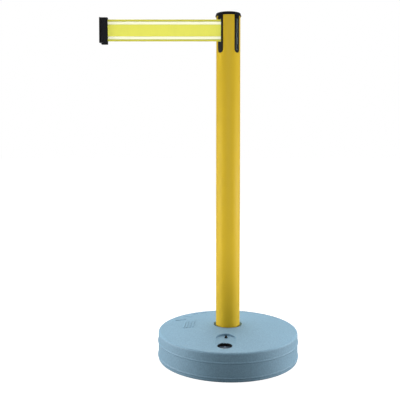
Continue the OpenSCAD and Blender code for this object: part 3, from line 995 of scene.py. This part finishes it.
    def bar(
        self, name: str, path: Sequence[Point2], width: float, proud: float
    ) -> Piece:
        """Returns a low raised bar with rounded edges that follows the base's top.

        Args:
            name: Name of the body.
            path: The bar's middle line, as (radius, degrees) about the post's axis.
            width: The bar's width.
            proud: How far it stands out of the top.

        Returns:
            The closed body.
        """
        angles = [(r, math.radians(a)) for r, a in path]
        middle = [Vector((r * math.cos(a), r * math.sin(a))) for r, a in angles]
        half = [(-0.5, -0.8), (-0.5, 0.4), (-0.32, 0.85)]
        section = [*half, (0, 1.0), *((-across, up) for across, up in reversed(half))]
        rings = []
        for i, here in enumerate(middle):
            ahead = middle[min(i + 1, len(middle) - 1)] - middle[max(i - 1, 0)]
            side = Vector((-ahead.y, ahead.x)).normalized()
            ring = []
            for across, up in section:
                place = here + side * (across * width)
                ring.append((place.x, place.y, self.surface(place.x, place.y) + up * proud))
            rings.append(ring)
        return loft(name, rings)

    def marks(self) -> list[Piece]:
        """Makes the plain raised bars on the top: dashes, two single bars and a grip patch.

        Returns:
            The bars, as closed bodies.
        """
        bars = []
        dashes = (("right", 175, (34, 45, 56, 67)), ("left", 161, (98, 109, 120)))
        for side, radius, starts in dashes:
            for k, first in enumerate(starts):
                path = [(radius, first + s * self.dash_step) for s in range(7)]
                bars.append(self.bar(f"{side}_dash_{k}", path, *self.dash_size))
        long_path = [(132 + s * 7, 149.5 + s * 1.4) for s in range(5)]
        bars.append(self.bar("long_bar", long_path, *self.long_size))
        short_path = [(137 + s * 6, 135.5 + s * 0.9) for s in range(5)]
        bars.append(self.bar("short_bar", short_path, *self.short_size))
        for k in range(4):
            line = [(-118 + self.grip_gap * k + s * 0.7, -14 + s * 10.5) for s in range(7)]
            path = [(math.hypot(x, y), math.degrees(math.atan2(y, x)) % 360) for x, y in line]
            bars.append(self.bar(f"grip_{k}", path, *self.grip_size))
        return bars

    def build(self) -> Piece:
        """Builds the base.

        Returns:
            The base, riding on the post's body.
        """
        base = lathe("base_body", self.outline(), self.steps)
        carve(base, self.marks(), Cut.ONTO)
        seat = low("plug_seal").z
        ends = (seat - self.neck_len - 4, seat + 2)
        neck = [circle(self.neck_r, z, 96, self.neck_place()) for z in ends]
        notch_at, notch_foot = self.fill_at + self.fill_r, high("fill_plug").z
        carve(base, [
            self.hollow_tool(),
            self.recess_tool(),
            self.groove_tool(),
            self.hole_tool("fill_tool", self.fill_at, self.fill_r, seat, self.fill_rim),
            loft("neck_tool", neck),
            self.hole_tool("notch_tool", notch_at, self.notch_r, notch_foot, self.notch_rim),
            self.hole_tool("vent_tool", self.vent_at, self.vent_r, self.vent_foot, self.vent_rim),
        ])
        smooth(base, 40)
        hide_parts("base_shell")
        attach(base, "post")
        log.info("base: %d faces", len(base.data.polygons))
        return base

    def dress(self, base: Piece, finishes: Finishes) -> None:
        """Gives the base and the parts of its fill neck their finishes.

        Args:
            base: The base.
            finishes: The materials.
        """
        finishes.dress(base, Slot.BASE)
        finishes.dress_node("fill_plug", Slot.PLUG, self.part_edge)
        # The neck liner is black rubber on the fill hole's wall, put there as painted shade: a dark
        # sheet that stands for the shade on the hole's far wall.
        for node in ("plug_seal", "neck_liner", "vent_plug"):
            finishes.dress_node(node, Slot.SEAL, self.part_edge)


# ---------- post ----------


@dataclass
class PostTube:
    """The yellow tube with four slots in its head."""

    slot_w: float = 18.0
    slot_z: float = 806.0
    wall: float = 3.0
    slot_rim: float = 1.2
    screw_turn: float = 25.0
    screw_hole_r: float = 1.9
    foot_edge: float = 0.4
    clear_up: float = 12.0
    clear_out: float = 8.0
    steps: int = 192

    def slot_ring(
        self, grow: float, reach: Callable[[float], float], turn: float, top: float
    ) -> list[Point3]:
        """Returns a ring round a slot's outline.

        Args:
            grow: How far the ring lies outside the slot.
            reach: Distance out from the post's axis at each place across the slot.
            turn: The slot's angle.
            top: Height at which the ring ends.

        Returns:
            The ring's points.
        """
        r = self.slot_w / 2 + grow
        middle = self.slot_z + self.slot_w / 2
        plan = [(r * math.cos(a), middle + r * math.sin(a)) for a in
                (math.pi * (1 + k / 32) for k in range(33))]
        plan = [(-r, top)] + plan + [(r, top)]
        return turned([(u, -reach(u), z) for u, z in plan], turn)

    def slot_tool(self, turn: float, radius: float, top: float) -> Piece:
        """Returns the body that is cut away for one slot, flared where it leaves the tube.

        Args:
            turn: The slot's angle.
            radius: The tube's outer radius.
            top: A height above the tube.

        Returns:
            The closed body.
        """

        def skin(u: float) -> float:
            """Returns how far out the tube's surface lies."""
            return math.sqrt(radius**2 - u**2)

        rings = [self.slot_ring(0, lambda u: radius / 2, turn, top)]
        for grow, drop in quarter(self.slot_rim, RIM_SWEEP, 6):
            rings.append(self.slot_ring(grow, lambda u, drop=drop: skin(u) - drop, turn, top))
        last = self.slot_rim + 0.3
        rings.append(self.slot_ring(last, lambda u: skin(u) + 0.3, turn, top))
        rings.append(self.slot_ring(last, lambda u: radius + self.clear_out, turn, top))
        return loft("slot_tool", rings)

    def build(self) -> Piece:
        """Builds the tube.

        Returns:
            The tube, riding on the post's body.
        """
        foot, head = low("post_tube"), high("post_tube")
        radius = head.x
        outline = soften([
            (radius - self.wall, foot.z, 0.5),
            (radius, foot.z, 0.5),
            (radius, head.z, 0.5),
            (radius - self.wall, head.z, 0.5),
        ], 4)
        tube = lathe("tube_body", outline, self.steps)
        screw_z = low("retaining_screw").z / 2 + high("retaining_screw").z / 2
        plan = circle(self.screw_hole_r, 0, 24)
        hole = [[(across, y, screw_z + up) for across, up, _ in plan] for y in (20, 40)]
        top = head.z + self.clear_up
        tools = [self.slot_tool(turn, radius, top) for turn in SLOT_TURNS]
        tools.append(loft("screw_tool", [turned(ring, self.screw_turn) for ring in hole]))
        carve(tube, tools)
        smooth(tube, 40)
        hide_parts("post_tube")
        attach(tube, "post")
        log.info("tube: %d faces", len(tube.data.polygons))
        return tube

    def dress(self, tube: Piece, finishes: Finishes) -> None:
        """Gives the tube and what holds its foot their finishes.

        Args:
            tube: The tube.
            finishes: The materials.
        """
        finishes.dress(tube, Slot.POST)
        finishes.dress_node("foot_plug", Slot.BLACK)
        for node in ("foot_nut", "clamp_bolt", "clamp_washer"):
            finishes.dress_node(node, Slot.STEEL, self.foot_edge)


# ---------- head ----------


@dataclass
class Head:
    """The cap with its disc, and the receivers and belt guide in the slots."""

    draft: float = 1.8
    tab_in: float = 28.9
    tab_out: float = 31.65
    tab_w: float = 17.4
    tab_h: float = 8.0
    disc_seat: float = 1.8
    disc_gap: float = 0.25
    screw_hole_r: float = 2.8
    screw_well_r: float = 5.6
    screw_seat: float = 2.6
    insert_edge: float = 0.3
    screw_edge: float = 0.2

    def tab(self, turn: float, top: float) -> Piece:
        """Makes one tab that closes the top of a slot.

        Args:
            turn: The slot's angle.
            top: Height of the cap's underside.

        Returns:
            The closed body.
        """
        half = self.tab_w / 2
        places = [half * (k / 8 - 1) for k in range(17)]
        plan = [(u, math.sqrt(self.tab_out**2 - u**2)) for u in places]
        plan += [(half, self.tab_in - 1), (-half, self.tab_in - 1)]
        ring = [(u, -v) for u, v in plan]
        levels = [top - self.tab_h, top + 0.5]
        return loft("tab", [turned([(u, v, z) for u, v in ring], turn) for z in levels])

    def cap(self) -> Piece:
        """Builds the cap.

        Returns:
            The cap, riding on the post's body.
        """
        crown = high("head_cap")
        low_r, top = crown.x, crown.z
        under = high("post_tube").z
        disc_r = high("cap_disc").x + self.disc_gap
        outline = soften([
            (self.screw_hole_r, under, 0.2),
            (low_r, under, 0.35),
            (low_r, under + 1.1, 0.5),
            (low_r - self.draft, top, 1.3),
            (disc_r, top, 0.3),
            (disc_r, top - self.disc_seat, 0.2),
            (self.screw_well_r, top - self.disc_seat, 0.3),
            (self.screw_well_r, under + self.screw_seat, 0.3),
            (self.screw_hole_r, under + self.screw_seat, 0.2),
        ], 5)
        cap = lathe("cap_body", outline, 144)
        carve(cap, [self.tab(turn, under) for turn in SLOT_TURNS], Cut.ONTO)
        smooth(cap, 40)
        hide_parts("head_cap")
        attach(cap, "post")
        return cap

    def disc(self) -> Piece:
        """Builds the cap's blank disc: a soft dome with one turned groove.

        Returns:
            The disc, riding on the post's body.
        """
        foot, top = low("cap_disc").z, high("cap_disc").z
        r = high("cap_disc").x
        levels = [
            (r - 0.3, foot), (r, foot + 0.3), (r, top - 0.55), (r - 0.15, top - 0.3),
            (r - 0.5, top - 0.2), (r - 2.4, top - 0.15), (r - 2.7, top - 0.4), (r - 3.3, top - 0.4),
            (r - 3.6, top - 0.13), (r * 0.6, top - 0.04), (r * 0.25, top),
        ]
        disc = loft("disc_body", [circle(level_r, z, 96) for level_r, z in levels])
        smooth(disc, 50)
        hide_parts("cap_disc")
        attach(disc, "post")
        return disc

    def build(self) -> list[Piece]:
        """Builds the cap and its disc.

        Returns:
            Both pieces.
        """
        pieces = [self.cap(), self.disc()]
        log.info("head: %s", ", ".join(piece.name for piece in pieces))
        return pieces

    def dress(self, pieces: Iterable[Piece], finishes: Finishes) -> None:
        """Gives the cap, the receivers and the guide their finishes.

        Args:
            pieces: The cap and its disc.
            finishes: The materials.
        """
        for piece in pieces:
            finishes.dress(piece, Slot.BLACK)
        finishes.dress_node("cap_screw", Slot.STEEL)
        receivers = ("receiver_front_right", "receiver_back_right", "receiver_back_left")
        # The receivers and the guide take the black nylon whose lighter inner colour is a painted
        # highlight on their channel floors.
        for node in (*receivers, "exit_guide"):
            finishes.dress_node(node, Slot.BLACK, self.insert_edge, material=finishes.insert)
        finishes.dress_node("retaining_screw", Slot.BLACK_STEEL, self.screw_edge)


@dataclass
class Cassette:
    """The belt's works inside the head: plates, tie bolts, spring, drum and coil."""

    edge: float = 0.25

    def dress(self, finishes: Finishes) -> None:
        """Gives every part of the works its finish.

        Args:
            finishes: The materials.
        """
        slots = {
            Slot.GREY: ("cassette_top", "cassette_base", "spring_cup", "spring_cover", "drum"),
            Slot.STEEL: ("tie_bolts", "tie_nuts", "drum_shaft"),
            Slot.BUSH: ("top_bush", "base_bush"),
            Slot.SPRING: ("power_spring",),
        }
        rounded = ("cassette_top", "cassette_base", "spring_cup", "drum")
        for slot, nodes in slots.items():
            for node in nodes:
                finishes.dress_node(node, slot, self.edge if node in rounded else 0.0)
        finishes.dress_node("belt_coil", Slot.WEBBING, material=finishes.wound)
        log.info("cassette: %d parts", sum(len(nodes) for nodes in slots.values()) + 1)


# ---------- belt and clip ----------


@dataclass
class BeltStrap:
    """The webbing between the coil and the clip's pin: a thin strip with thicker selvedges."""

    start_x: float = -4.0
    thickness: float = 0.6
    selvedge: float = 0.16
    selvedge_w: float = 2.2
    edge_round: float = 0.35
    edge_least: float = 0.02
    ripple: float = 0.22
    ripple_len: float = 96.0
    columns: int = 28
    rows: int = 110

    def half_thickness(self, z: float, foot: float, top: float) -> float:
        """Finds half the strip's thickness, which is rounded off at both edges.

        Args:
            z: The height.
            foot: Height of the lower edge.
            top: Height of the upper edge.

        Returns:
            Half the thickness.
        """
        inset = min(z - foot, top - z)
        body = self.thickness / 2 + self.selvedge / 2 * max(0.0, 1 - inset / self.selvedge_w)
        return body * math.sqrt(min(1.0, (inset + self.edge_least) / self.edge_round))

    def levels(self, foot: float, top: float) -> list[float]:
        """Returns the heights of the strip's columns, closer together at its edges."""
        shares = [(1 - math.cos(math.pi * k / self.columns)) / 2 for k in range(self.columns + 1)]
        return [foot + (top - foot) * share for share in shares]

    def build(self) -> Piece:
        """Builds the strip.

        Returns:
            The strip, which runs from the post to the clip's pin.
        """
        foot, top = low("belt_strap").z, high("belt_strap").z
        pin = (low("clip_pin") + high("clip_pin")) / 2
        heights = self.levels(foot, top)
        rings = []
        for i in range(self.rows + 1):
            share = i / self.rows
            x = self.start_x + (pin.x - self.start_x) * share
            held = math.sin(math.pi * share)
            here = pin.y + self.ripple * held * math.sin(math.tau * x / self.ripple_len)
            front = [(x, here - self.half_thickness(z, foot, top), z) for z in heights]
            back = [(x, here + self.half_thickness(z, foot, top), z) for z in reversed(heights)]
            rings.append(front + back)
        strap = loft("belt_webbing", rings)
        smooth(strap, 60)
        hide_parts("belt_strap")
        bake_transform(strap)
        return strap

    def dress(self, strap: Piece, finishes: Finishes) -> None:
        """Gives the strip its finish."""
        finishes.dress(strap, Slot.WEBBING)


@dataclass
class BeltClip:
    """The clip at the belt's end: two shells, a rail, a pin and screws."""

    shell_edge: float = 0.8
    rail_edge: float = 0.4

    def dress(self, finishes: Finishes) -> None:
        """Rounds the clip's edges and gives its parts their finishes.

        Args:
            finishes: The materials.
        """
        for node in ("clip_front_shell", "clip_back_shell"):
            finishes.dress_node(node, Slot.BLACK, self.shell_edge, 3)
        finishes.dress_node("clip_rail", Slot.BLACK, self.rail_edge)
        finishes.dress_node("clip_pin", Slot.STEEL)
        finishes.dress_node("clip_screws", Slot.BLACK_STEEL)
        log.info("clip: dressed")


# ---------- studio ----------


@dataclass(frozen=True)
class Softbox:
    """A soft rectangular lamp, in metres and watts; spread is its light's full angle."""

    name: str
    place: Point3
    aim: Point3
    width: float
    height: float
    power: float
    spread: float = 180.0

    def build(self) -> None:
        """Hangs the lamp."""
        lamp = bpy.data.lights.new(self.name, "AREA")
        lamp.shape = "RECTANGLE"
        lamp.size = self.width
        lamp.size_y = self.height
        lamp.energy = self.power
        lamp.spread = math.radians(self.spread)
        holder = bpy.data.objects.new(self.name, lamp)
        holder.location = self.place
        way = Vector(self.aim) - Vector(self.place)
        holder.rotation_euler = way.to_track_quat("-Z", "Y").to_euler()
        bpy.context.scene.collection.objects.link(holder)


@dataclass
class Studio:
    """A pale floor, a white surround, soft lamps and the camera."""

    camera_at: Point3 = (-0.07457, -1.5601, 0.5574)
    camera_tilt: float = 2.308
    lens: float = 52.82
    shift_y: float = -0.07
    floor_size: float = 60.0
    floor_z: float = -0.5
    floor_white: float = 0.22
    floor_glow: float = 0.95
    surround: float = 0.27

    def softboxes(self) -> list[Softbox]:
        """Sets out the lamps.

        Returns:
            The lamps.
        """
        return [
            Softbox("left_box", (-1.7, -0.1, 0.25), (0, 0, 0.08), 1.4, 0.6, 36.0),
            Softbox("right_box", (1.7, -0.1, 0.25), (0, 0, 0.08), 1.4, 0.6, 36.0),
            Softbox("top_box", (0, 0.6, 2.3), (0, 0.1, 0), 1.8, 1.8, 82.0),
            Softbox("front_strip", (-0.9, -2.6, 0.66), (-0.9, 0, 0.66), 3.4, 0.98, 6.2, 8.0),
        ]

    def floor(self) -> None:
        """Lays the floor."""
        half = self.floor_size / 2 / MM
        corners = ((-half, -half), (half, -half), (half, half), (-half, half))
        sheet = mesh_object("floor", [(x, y, self.floor_z) for x, y in corners], [(0, 1, 2, 3)])
        recipe = Recipe("pale_floor")
        recipe.set(Base_Color=(self.floor_white,) * 3, Roughness=0.9, Specular_IOR_Level=0.1)
        seen = recipe.node("ShaderNodeLightPath", {}).outputs["Is Camera Ray"]
        glow = recipe.maths("MULTIPLY", seen, self.floor_glow)
        recipe.set(Emission_Color=(1.0, 1.0, 1.0), Emission_Strength=glow)
        sheet.data.materials.append(recipe.material)

    def world(self) -> None:
        """Surrounds the scene with white, which lights it less than it shows."""
        world = bpy.data.worlds.new("surround")
        world.use_nodes = True
        tree = world.node_tree
        tree.nodes.clear()
        output = tree.nodes.new("ShaderNodeOutputWorld")
        seen = tree.nodes.new("ShaderNodeLightPath").outputs["Is Camera Ray"]
        strength = tree.nodes.new("ShaderNodeMapRange")
        strength.inputs["To Min"].default_value = self.surround
        strength.inputs["To Max"].default_value = 1.0
        white = tree.nodes.new("ShaderNodeBackground")
        white.inputs["Color"].default_value = (1, 1, 1, 1)
        tree.links.new(seen, strength.inputs["Value"])
        tree.links.new(strength.outputs[0], white.inputs["Strength"])
        tree.links.new(white.outputs[0], output.inputs[0])
        bpy.context.scene.world = world

    def camera(self) -> None:
        """Places the camera, which looks along +Y and a little down."""
        lens = bpy.data.cameras.new("camera")
        lens.lens = self.lens
        lens.shift_y = self.shift_y
        lens.clip_end = 100
        holder = bpy.data.objects.new("camera", lens)
        holder.location = self.camera_at
        holder.rotation_euler = (math.radians(90 - self.camera_tilt), 0, 0)
        bpy.context.scene.collection.objects.link(holder)
        bpy.context.scene.camera = holder

    def build(self) -> None:
        """Builds the studio."""
        self.camera()
        self.floor()
        self.world()
        boxes = self.softboxes()
        for box in boxes:
            box.build()
        bpy.context.scene.view_settings.view_transform = "Standard"
        log.info("studio: %d lamps", len(boxes))


def main() -> None:
    """Builds every piece in order."""
    logging.basicConfig(level=logging.INFO, format="%(message)s")
    Studio().build()
    finishes = Finishes()

    base = FillableBase()
    base.dress(base.build(), finishes)
    tube = PostTube()
    tube.dress(tube.build(), finishes)
    head = Head()
    head.dress(head.build(), finishes)
    Cassette().dress(finishes)
    strap = BeltStrap()
    strap.dress(strap.build(), finishes)
    BeltClip().dress(finishes)


if __name__ == "__main__":
    main()
